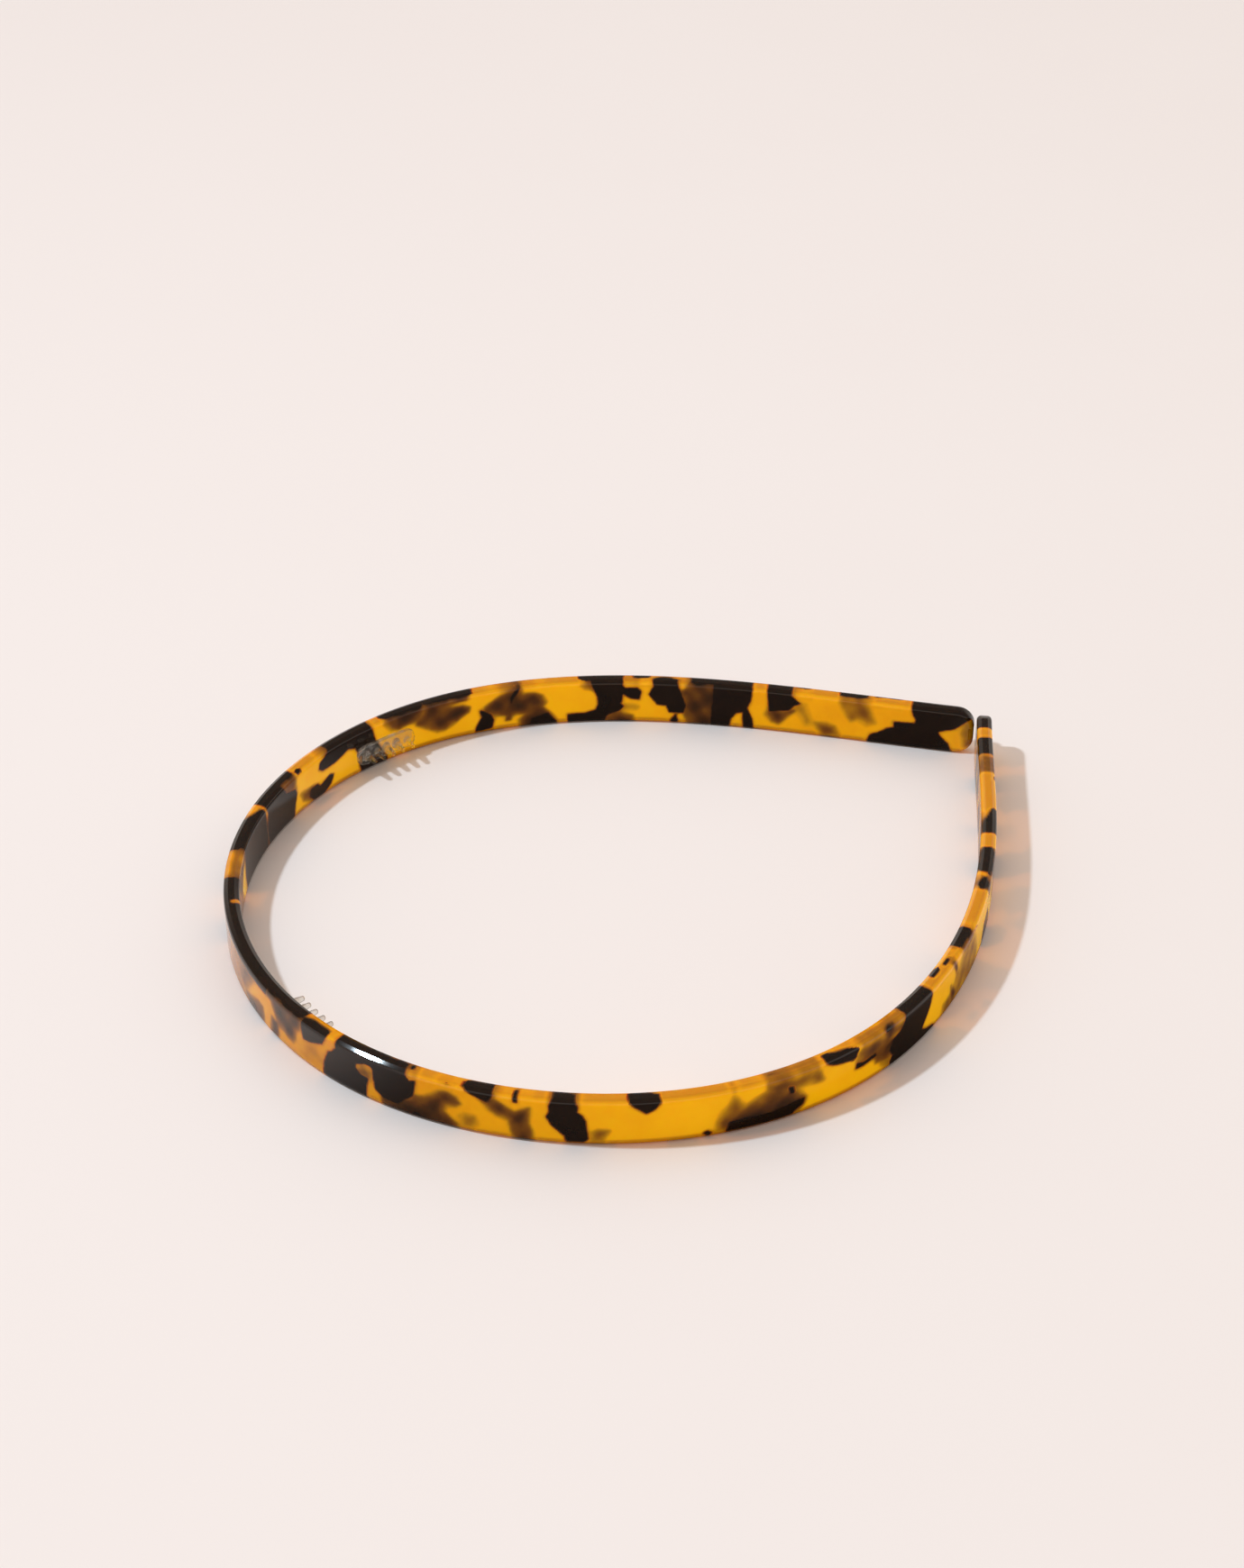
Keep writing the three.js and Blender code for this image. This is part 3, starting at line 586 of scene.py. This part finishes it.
# a bench holds the nodes of one material, lamp or world
class Bench:
    def __init__(self, owner):
        owner.use_nodes = True
        self.tree = owner.node_tree
        self.tree.nodes.clear()

    # any node: its type, its settings, the values or wires of its sockets, and the output to hand back
    def node(self, kind, settings, sockets, output=0):
        made = self.tree.nodes.new(kind)
        for name, value in settings.items():
            if name == "stops":
                self.setStops(made.color_ramp, value)
            else:
                setattr(made, name, value)
        for name, value in sockets.items():
            if isinstance(value, Wire):
                self.tree.links.new(value.socket, made.inputs[name])
            else:
                made.inputs[name].default_value = value
        return Wire(self, made.outputs[output]) if made.outputs else made

    def setStops(self, ramp, stops):
        while len(ramp.elements) < len(stops):
            ramp.elements.new(0.5)
        for element, (place, shade) in zip(ramp.elements, stops):
            element.position = place
            element.color = shade

    def mixColours(self, share, first, second):
        settings = {"data_type": "RGBA", "clamp_factor": True}
        return self.node("ShaderNodeMix", settings, {0: share, 6: first, 7: second}, 2)

    # 0 below low, 1 above high, with a soft rise between
    def riseFrom(self, value, low, high):
        settings = {"interpolation_type": "SMOOTHSTEP"}
        sockets = {"Value": value, "From Min": low, "From Max": high}
        return self.node("ShaderNodeMapRange", settings, sockets)

    # noise of a grain in millimetres, from 0 to 1 about a half
    def noise(self, grain, detail, where):
        sockets = {"Vector": where, "Scale": 1 / (grain * mm), "Detail": detail, "Roughness": 0.55}
        return self.node("ShaderNodeTexNoise", {}, sockets, "Fac")

    # a number that giveValues has put on the piece
    def value(self, name):
        return self.node("ShaderNodeAttribute", {"attribute_name": name}, {}, "Fac")

    def objectPlace(self):
        return self.node("ShaderNodeTexCoord", {}, {}, "Object")

    # how far a place or a direction goes along another direction
    def along(self, vector, direction):
        settings = {"operation": "DOT_PRODUCT"}
        return self.node("ShaderNodeVectorMath", settings, {0: vector, 1: direction}, "Value")

    # 1 for what a polished face mirrors, and less for what is seen through clear plastic
    def mirroredShare(self):
        glossy = self.node("ShaderNodeLightPath", {}, {}, "Is Glossy Ray")
        through = self.node("ShaderNodeLightPath", {}, {}, "Is Transmission Ray")
        return glossy * (1 - through * light["clearBright"])

    def finish(self, shader):
        self.node("ShaderNodeOutputMaterial", {}, {"Surface": shader})


def newMaterial(name):
    material = bpy.data.materials.new(name)
    return material, Bench(material)


# colours, grains in millimetres, and how glossy and how clear the sheet is
tortoiseshell = {
    "amber": colour(244, 174, 4),
    "honey": colour(232, 150, 2),
    # the third amber is painted shade for the top and bottom edges and just above the foot
    "shadedEdgeAmber": colour(212, 140, 20),
    "fringe": [
        (0.0, colour(238, 158, 6)),
        (0.4, colour(208, 106, 8)),
        (0.75, colour(140, 54, 10)),
        (1.0, colour(60, 20, 8)),
    ],
    "fringeReach": 0.6,
    "chunkRim": (-0.1, 0.08),
    "chunk": colour(20, 11, 4),
    "warmChunk": colour(38, 19, 6),
    "depths": [
        (0.0, colour(244, 174, 4)),
        (0.2, colour(222, 146, 8)),
        (0.38, colour(184, 116, 14)),
        (0.56, colour(140, 86, 20)),
        (0.72, colour(96, 56, 18)),
        (0.86, colour(62, 35, 14)),
        (1.0, colour(36, 20, 9)),
    ],
    "ragged": 0.9,
    "raggedGrain": 1.9,
    "cloud": 0.16,
    "cloudGrain": 2.4,
    "driftGrain": 9,
    "streakGrain": 1.1,
    "warmGrain": 3,
    "smoothest": 0.035,
    "smudge": 0.05,
    "smudgeGrain": 5,
    "scuff": 0.015,
    "scuffGrain": 0.3,
    "swellStrength": 0.25,
    "swellHeight": 0.05,
    "swellGrain": 7,
    "pittedGrain": 0.5,
    "ior": 1.48,
    "lightRadius": (1.0, 0.42, 0.06),
    "lightReach": 3.2 * mm,
    "glow": 0.75,
    "shine": 0.5,
    "lampPasses": 0.95,
    "darkHolds": 0.85,
    # the inner colour is a painted glow: emission that stands in for light carried inside the sheet
    "inner": (0.26, 0.18, 0.0, 1.0),
    "shadowTint": (0.6, 0.28, 0.05, 1.0),
    "flatSlope": math.radians(62.2),
    "flatReach": math.radians(24),
}


# amber that darkens to brown over buried chunks, turns red beside a chunk at the surface and black in
# it; the chunk's edge is its distance moved in and out by noise
def makeTortoiseshell():
    look = tortoiseshell
    material, bench = newMaterial("tortoise_acetate")
    where = bench.objectPlace()
    skin = bench.value("skin") + (bench.noise(look["raggedGrain"], 4, where) - 0.5) * look["ragged"]
    shade = bench.value("shade") + (bench.noise(look["cloudGrain"], 3, where) - 0.5) * look["cloud"]
    drift = bench.riseFrom(bench.noise(look["driftGrain"], 3, where), 0.36, 0.64) * 0.55
    drift = drift + bench.noise(look["streakGrain"], 4, where) * 0.45
    amber = bench.mixColours(drift, look["amber"], look["honey"])
    # painted shade: deeper amber on the top and bottom edges and just above the foot
    amber = bench.mixColours(bench.value("edge"), amber, look["shadedEdgeAmber"])
    brown = bench.node("ShaderNodeValToRGB", {"stops": look["depths"]}, {"Fac": shade}, "Color")
    base = bench.mixColours(bench.riseFrom(shade, 0, 0.18), amber, brown)
    red = bench.riseFrom(skin, -look["fringeReach"], 0)
    glowing = bench.node("ShaderNodeValToRGB", {"stops": look["fringe"]}, {"Fac": red}, "Color")
    fringed = bench.riseFrom(red, 0, 0.35) * (1 - bench.riseFrom(shade, 0.3, 0.75))
    base = bench.mixColours(fringed, base, glowing)
    dark = bench.riseFrom(skin, *look["chunkRim"])
    warmth = bench.noise(look["warmGrain"], 3, where)
    chunkTone = bench.mixColours(warmth, look["chunk"], look["warmChunk"])
    base = bench.mixColours(dark, base, chunkTone)
    # how far the painted glow, an emission that stands in for light carried inside the sheet, is held
    # back: wholly in a chunk, and on the edges
    glowHeldBack = dark.atLeast(bench.riseFrom(shade, 0, 0.6)).atLeast(red * 0.9).atLeast(bench.value("edge"))
    glowHeldBack = glowHeldBack.atLeast(bench.value("lit"))
    roughness = look["smoothest"] + bench.noise(look["smudgeGrain"], 4, where) * look["smudge"]
    roughness = roughness + bench.noise(look["scuffGrain"], 3, where) * look["scuff"]
    # tumbling flattens the round of the upper edges: a height of half the square of the turn from the
    # flat's own slope, times the radius, turns the normal back to that slope
    turn = bench.value("tilt") - look["flatSlope"]
    turn = turn.atLeast(-look["flatReach"]).atMost(look["flatReach"])
    flattened = bench.node("ShaderNodeBump", {}, {
        "Strength": 1.0,
        "Distance": band["edgeRadius"] * mm,
        "Height": turn * turn * 0.5,
    })
    swell = bench.noise(look["swellGrain"], 2, where) * 0.6
    swell = swell + bench.noise(look["pittedGrain"], 3, where) * 0.01
    bump = bench.node("ShaderNodeBump", {}, {
        "Strength": look["swellStrength"],
        "Distance": look["swellHeight"] * mm,
        "Height": swell,
        "Normal": flattened,
    })
    body = bench.node("ShaderNodeBsdfPrincipled", {"subsurface_method": "RANDOM_WALK"}, {
        "Base Color": base,
        "Roughness": roughness,
        "IOR": look["ior"],
        "Specular IOR Level": look["shine"],
        "Subsurface Weight": look["glow"],
        "Subsurface Radius": look["lightRadius"],
        "Subsurface Scale": look["lightReach"],
        # the emission is a painted glow, held back over chunks, edges and lamp-lit sides
        "Emission Color": bench.mixColours(glowHeldBack, look["inner"], (0, 0, 0, 1)),
        "Emission Strength": 1.0,
        "Normal": bump,
    })
    lamp = bench.node("ShaderNodeLightPath", {}, {}, "Is Shadow Ray")
    clear = bench.node("ShaderNodeBsdfTransparent", {}, {"Color": look["shadowTint"]})
    # the lamp's light passes amber, tinted, and is mostly held by chunks
    passes = look["lampPasses"] - dark.atLeast(bench.riseFrom(shade, 0.1, 0.8)) * look["darkHolds"]
    bench.finish(bench.node("ShaderNodeMixShader", {}, {0: lamp * passes, 1: body, 2: clear}))
    return material


bandCoords, bandNormals, bandQuads = slabGrid(band)
bandPoints = onStrip(bandCoords[:, 0], bandCoords[:, 1], bandCoords[:, 2] + band["width"] / 2)
# the path moves and shrinks by a hair so that the band fills the CAD band's box
cadBand = np.array(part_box("band"))[:, :2] / mm
ownBox = np.stack([bandPoints[:, :2].min(axis=0), bandPoints[:, :2].max(axis=0)])
fit = ((cadBand[1] - cadBand[0]) / (ownBox[1] - ownBox[0])).min()
path["points"] = (path["points"] - ownBox.mean(axis=0)) * fit + cadBand.mean(axis=0)
bandPoints[:, :2] = (bandPoints[:, :2] - ownBox.mean(axis=0)) * fit + cadBand.mean(axis=0)
bandPiece = newPiece("band_acetate", bandPoints, bandQuads)
skinValues, shadeValues = tortoiseField(bandCoords, bandNormals)
giveValues(bandPiece, "skin", skinValues)
giveValues(bandPiece, "shade", shadeValues)
# painted shade: the amber is painted deeper on the top and bottom edges and just above the foot,
# standing in for how the sheet looks seen along its width and beside the floor
foot = np.clip((band["footTop"] - (bandCoords[:, 2] + band["width"] / 2)) / band["footFade"], 0, 1)
edgeShadeValues = np.maximum(np.abs(bandNormals[:, 2]) ** 2, foot * band["footDepth"])
giveValues(bandPiece, "edge", edgeShadeValues)
giveValues(bandPiece, "tilt", np.arcsin(np.clip(bandNormals[:, 2], 0, 1)))
# a side that the lamp lights gets less of the painted glow, the emission that stands in for light
# carried inside the sheet
level = np.zeros(len(bandCoords))
inwardWay = onStrip(bandCoords[:, 0], level + 1, level) - onStrip(bandCoords[:, 0], level, level)
lit = (inwardWay @ np.array(fromCamera(light["keyAround"], light["keyUp"]))) * bandNormals[:, 1]
giveValues(bandPiece, "lit", np.clip(lit * band["litGain"], 0, 1))
bandPiece.data.materials.append(makeTortoiseshell())
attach(bandPiece, "root")
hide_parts("band")
print("band made,", len(bandPiece.data.polygons), "faces")


# the clear combs, in millimetres
comb = {
    "spacing": 96.2,
    "crownAlong": 0.5,
    "level": 4.6,
    "length": 14,
    "width": 4.2,
    "thickness": 1,
    "cornerRadius": 1.8,
    "edgeRadius": 0.3,
    "bondGap": 0.3,
    "step": 0.5,
    "cornerSteps": 8,
    "edgeSteps": 4,
    "flatSteps": 2,
    "faceRows": 9,
    "teeth": 5,
    "toothPitch": 2.45,
    "toothLength": 3,
    "toothWidth": 1.3,
    "toothTipWidth": 0.85,
    "toothDepth": 1.7,
    "toothFootRadius": 0.3,
    "toothSink": 0.3,
    "toothSides": 28,
    "toothArcSteps": 6,
}


# one tooth's points: a circle swept up its outline, which flares in an arc at the foot, tapers, and
# closes in a round tip; the circle is then stretched across the strip
def toothGrid():
    root, tip = comb["toothWidth"] / 2, comb["toothTipWidth"] / 2
    foot = root + comb["toothFootRadius"]
    angle = np.linspace(0, math.pi / 2, comb["toothArcSteps"] + 1)
    flareOut = foot - comb["toothFootRadius"] * np.sin(angle)
    flareUp = comb["toothFootRadius"] * (1 - np.cos(angle))
    roundOut = tip * np.cos(angle[:-1])
    roundUp = comb["toothLength"] - tip + tip * np.sin(angle[:-1])
    out = np.concatenate([[foot], flareOut, roundOut])
    up = np.concatenate([[-comb["toothSink"]], flareUp, roundUp])
    turn = np.arange(comb["toothSides"]) / comb["toothSides"] * 2 * math.pi
    across = np.outer(out, np.cos(turn))
    rise = np.outer(out, np.sin(turn)) * comb["toothDepth"] / comb["toothWidth"]
    inward = np.repeat(up[:, None], comb["toothSides"], axis=1)
    points = np.stack([across, inward, rise], axis=-1).reshape(-1, 3)
    ends = np.array([[0, -comb["toothSink"], 0], [0, comb["toothLength"], 0]])
    number = np.arange(len(points)).reshape(across.shape)
    onward = np.roll(number, -1, axis=1)
    quads = np.stack([number[:-1], number[1:], onward[1:], onward[:-1]], axis=-1)
    quads = quads.reshape(-1, 4).tolist()
    bottom, top = len(points), len(points) + 1
    quads += [[bottom, a, b] for a, b in zip(number[0].tolist(), onward[0].tolist())]
    quads += [[top, b, a] for a, b in zip(number[-1].tolist(), onward[-1].tolist())]
    return np.concatenate([points, ends]), quads


clearPlastic = {
    "tint": colour(250, 250, 246),
    "throughTint": colour(250, 249, 246),
    "ior": 1.45,
    "seeThrough": 0.36,
    "lampThrough": 0.42,
    "smoothest": 0.01,
    "smudge": 0.02,
    "smudgeGrain": 1.2,
    "flowStrength": 0.12,
    "flowHeight": 0.04,
    "flowGrain": 2.2,
    "speckGrain": 0.35,
}


# clear moulded plastic with a faint flow pattern: it bends what is seen through it, and passes
# scattered light and a share of the lamp's light straight through
def makeClearPlastic():
    look = clearPlastic
    material, bench = newMaterial("clear_plastic")
    where = bench.objectPlace()
    roughness = look["smoothest"] + bench.noise(look["smudgeGrain"], 3, where) * look["smudge"]
    flow = bench.noise(look["flowGrain"], 2, where) * 0.7
    flow = flow + bench.noise(look["speckGrain"], 2, where) * 0.05
    bump = bench.node("ShaderNodeBump", {}, {
        "Strength": look["flowStrength"],
        "Distance": look["flowHeight"] * mm,
        "Height": flow,
    })
    body = bench.node("ShaderNodeBsdfPrincipled", {}, {
        "Base Color": look["tint"],
        "Roughness": roughness,
        "IOR": look["ior"],
        "Transmission Weight": 1.0,
        "Normal": bump,
    })
    lamp = bench.node("ShaderNodeLightPath", {}, {}, "Is Shadow Ray")
    clear = bench.node("ShaderNodeBsdfTransparent", {}, {"Color": look["throughTint"]})
    scattered = bench.node("ShaderNodeLightPath", {}, {}, "Is Diffuse Ray")
    share = (look["seeThrough"] + lamp * (look["lampThrough"] - look["seeThrough"])).atLeast(scattered)
    bench.finish(bench.node("ShaderNodeMixShader", {}, {0: share, 1: body, 2: clear}))
    return material


# others become part of piece, as one closed mesh
def joinInto(piece, others):
    for other in others:
        union = piece.modifiers.new("join", "BOOLEAN")
        union.operation = "UNION"
        union.solver = "EXACT"
        union.object = other
    # flat faces keep their own normals where they meet the rounds
    evened = piece.modifiers.new("normals", "WEIGHTED_NORMAL")
    evened.weight = 100
    graph = bpy.context.evaluated_depsgraph_get()
    joined = bpy.data.meshes.new_from_object(piece.evaluated_get(graph))
    piece.modifiers.clear()
    piece.data = joined
    for other in others:
        bpy.data.objects.remove(other)


# a small rounded slab along the band's inner face, with its teeth standing inwards at an even pitch
def makeComb(name, middle, material):
    coords, _, quads = slabGrid(comb)
    depth = band["thickness"] / 2 + comb["bondGap"] + comb["thickness"] / 2
    level = comb["level"]
    points = onStrip(coords[:, 0] + middle, coords[:, 1] + depth, coords[:, 2] + level)
    strip = newPiece(name + "_clear", points, quads)
    toothPoints, toothFaces = toothGrid()
    teeth = []
    for number in range(comb["teeth"]):
        along = middle + (number - (comb["teeth"] - 1) / 2) * comb["toothPitch"]
        seatDepth = depth + comb["thickness"] / 2 + np.array([0, 1])
        seat = onStrip(np.array([along, along]), seatDepth, level)
        inward = (seat[1] - seat[0]) / np.linalg.norm(seat[1] - seat[0])
        upward = np.array([0, 0, 1])
        across = np.cross(inward, upward)
        places = seat[0] + toothPoints @ np.stack([across, inward, upward])
        teeth.append(newPiece("tooth", places, toothFaces))
    joinInto(strip, teeth)
    strip.data.materials.clear()
    strip.data.materials.append(material)
    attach(strip, "root")
    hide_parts(name)
    return strip


clearMaterial = makeClearPlastic()
combPlaces = {
    "comb_left": -comb["spacing"],
    "comb_crown": comb["crownAlong"],
    "comb_right": comb["spacing"],
}
for name, middle in combPlaces.items():
    made = makeComb(name, middle, clearMaterial)
    print(name, "made,", len(made.data.polygons), "faces")

# size, grains and height are in millimetres, and where the tones change is in metres from the origin
floorLook = {
    "size": 24000,
    "paper": colour(243, 233, 229),
    "paperShade": colour(241, 230, 226),
    "paperShadedForLamp": colour(238, 227, 223),
    "toneGrain": 90,
    "roughness": 0.95,
    "shine": 0.1,
    "grainStrength": 0.1,
    "grainHeight": 0.05,
    "grain": 0.8,
    "lampFrom": -0.2,
    "lampTo": 0.3,
    "mirrored": (0.17, 0.15, 0.14, 1.0),
    "leftFrom": 0.042,
    "leftTo": 0.074,
    "rightFrom": 0.055,
    "rightTo": 0.07,
}


# a plain pale floor, a little uneven in tone like painted board, with painted shade towards the lamp
# that offsets the lamp's stronger light there
def makeFloor():
    corners = np.array([[-1, -1, 0], [1, -1, 0], [1, 1, 0], [-1, 1, 0]])
    floor = newPiece("floor", corners * floorLook["size"] / 2, [[0, 1, 2, 3]])
    material, bench = newMaterial("floor_board")
    where = bench.objectPlace()
    tone = bench.noise(floorLook["toneGrain"], 3, where)
    tone = bench.mixColours(tone, floorLook["paper"], floorLook["paperShade"])
    leftward = bench.along(where, fromCamera(180, 0))
    # painted shade: the board is darker towards the lamp, where its light falls stronger
    byLamp = bench.riseFrom(leftward, floorLook["lampFrom"], floorLook["lampTo"])
    tone = bench.mixColours(byLamp, tone, floorLook["paperShadedForLamp"])
    bump = bench.node("ShaderNodeBump", {}, {
        "Strength": floorLook["grainStrength"],
        "Distance": floorLook["grainHeight"] * mm,
        "Height": bench.noise(floorLook["grain"], 3, where),
    })
    board = bench.node("ShaderNodeBsdfPrincipled", {}, {
        "Base Color": tone,
        "Roughness": floorLook["roughness"],
        "Specular IOR Level": floorLook["shine"],
        "Normal": bump,
    })
    # polished faces mirror a dim floor, except beyond the object's left and right ends
    dim = 1 - bench.riseFrom(leftward, floorLook["leftFrom"], floorLook["leftTo"])
    dim = dim - bench.riseFrom(0 - leftward, floorLook["rightFrom"], floorLook["rightTo"])
    mirrored = bench.node("ShaderNodeBsdfDiffuse", {}, {"Color": floorLook["mirrored"]})
    share = bench.mirroredShare() * dim
    bench.finish(bench.node("ShaderNodeMixShader", {}, {0: share, 1: board, 2: mirrored}))
    floor.data.materials.append(material)


makeFloor()


def makeCamera():
    data = bpy.data.cameras.new("camera")
    data.lens = view["lens"]
    data.sensor_width = 36
    data.clip_start = 0.01
    camera = bpy.data.objects.new("camera", data)
    bpy.context.scene.collection.objects.link(camera)
    back = fromCamera(-90, view["elevation"])
    camera.location = Vector(view["target"]) + back * view["distance"]
    camera.rotation_euler = (-back).to_track_quat("-Z", "Y").to_euler()
    bpy.context.scene.camera = camera


# one small round lamp, high on the left, which lights near and far alike, and a pale room that is
# brighter behind the object
def makeLight():
    data = bpy.data.lights.new("key", "POINT")
    data.energy = light["keyPower"]
    data.shadow_soft_size = light["keyRadius"]
    data.color = light["keyColour"]
    bench = Bench(data)
    even = bench.node("ShaderNodeLightFalloff", {}, {"Strength": 1.0}, "Constant")
    shine = bench.node("ShaderNodeEmission", {}, {"Strength": even})
    bench.node("ShaderNodeOutputLight", {}, {"Surface": shine})
    key = bpy.data.objects.new("key", data)
    bpy.context.scene.collection.objects.link(key)
    toLamp = fromCamera(light["keyAround"], light["keyUp"]) * light["keyDistance"]
    key.location = Vector(view["target"]) + toLamp
    world = bpy.data.worlds.new("room")
    bench = Bench(world)
    outward = bench.node("ShaderNodeTexCoord", {}, {}, "Generated")
    bright = bench.riseFrom(bench.along(outward, fromCamera(90, 30)), light["skyFrom"], light["skyTo"])
    strength = light["skyDark"] + bright * (light["skyBright"] - light["skyDark"])
    # polished faces mirror a room that is pale low down and turns dim between 13 and 34 degrees up
    upward = bench.node("ShaderNodeSeparateXYZ", {}, {"Vector": outward}, "Z")
    fall = light["mirroredHigh"] - light["mirroredLow"]
    above = bench.riseFrom(upward, light["mirroredFrom"], light["mirroredTo"])
    mirrored = light["mirroredLow"] + above * fall
    strength = strength + bench.mirroredShare() * (mirrored - strength)
    glow = bench.node("ShaderNodeBackground", {}, {"Color": light["skyColour"], "Strength": strength})
    bench.node("ShaderNodeOutputWorld", {}, {"Surface": glow})
    bpy.context.scene.world = world


makeCamera()
makeLight()
bpy.context.scene.view_settings.view_transform = "Standard"
print("floor, camera and light made")
